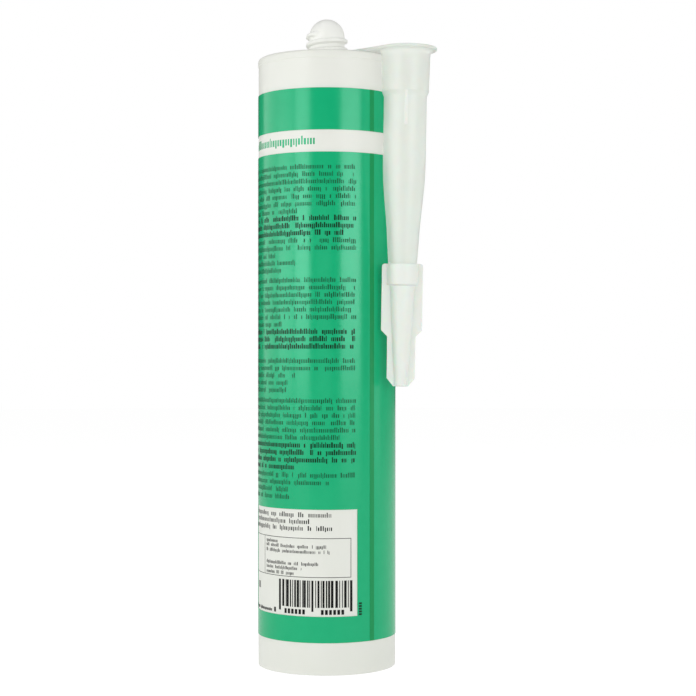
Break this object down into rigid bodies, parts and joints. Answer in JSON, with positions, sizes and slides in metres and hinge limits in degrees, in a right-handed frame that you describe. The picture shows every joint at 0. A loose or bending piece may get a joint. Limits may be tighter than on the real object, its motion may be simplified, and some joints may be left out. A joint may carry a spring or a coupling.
{
  "type": "caulk tube",
  "caption": "Upright sealant cartridge with a blind threaded neck, a rear piston, and a capped nozzle hung beside it on a strap.",
  "frame": {"origin": "centre of the open rear end, on the barrel's axis, at the height of the rear rim", "axes": "+Z along the barrel towards the neck, +X from the barrel's axis towards the hung nozzle"},
  "size_m": [0.0693, 0.0496, 0.2324],
  "materials": {
    "barrel_plastic": "satin",
    "green_ink": "satin",
    "piston_plastic": "satin",
    "sealant_paste": "satin",
    "nozzle_plastic": "satin",
    "cap_plastic": "satin"
  },
  "bodies": {
    "cartridge": {"barrel": "barrel_plastic", "print_field": "green_ink", "print_band": "green_ink", "sealant": "sealant_paste"},
    "plunger": {"piston": "piston_plastic"},
    "spout": {"nozzle": "nozzle_plastic"},
    "tip_cap": {"nozzle_cap": "cap_plastic"}
  },
  "joints": [
    {"name": "piston_slide", "type": "slide", "parent": "cartridge", "child": "plunger", "axis": [0, 0, 1], "range_m": [0, 0.181], "deforming": ["sealant"]},
    {"name": "nozzle_swivel", "type": "hinge", "parent": "cartridge", "child": "spout", "pos_m": [0, 0, 0.21815], "axis": [0, 0, 1], "continuous": true},
    {"name": "cap_pull", "type": "slide", "parent": "spout", "child": "tip_cap", "axis": [-0.0201, 0, -0.9998], "range_m": [0, 0.045]}
  ]
}
